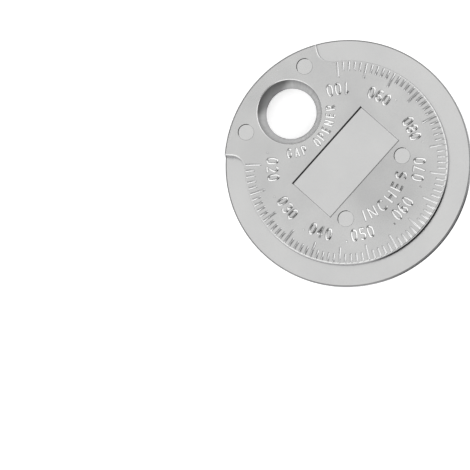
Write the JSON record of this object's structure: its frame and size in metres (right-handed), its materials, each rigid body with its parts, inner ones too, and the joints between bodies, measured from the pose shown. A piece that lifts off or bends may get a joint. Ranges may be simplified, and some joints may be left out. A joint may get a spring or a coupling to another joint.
{
  "type": "spark plug gap gauge",
  "caption": "Coin-type spark plug gap gauge: a thick marked hub with a countersunk key-ring hole, ringed by a thin tapered gauging rim.",
  "frame": {"origin": "middle of the disc, on the plane that the raised marks of the back face rest on", "axes": "+Z out of the inch face, +Y from the middle of the disc towards the hole"},
  "size_m": [0.034, 0.034, 0.0043],
  "materials": {
    "plated_zinc": "satin nickel-chrome plate on a zinc die casting"
  },
  "bodies": {
    "root": {"gauge_disc": "plated_zinc"}
  },
  "joints": []
}
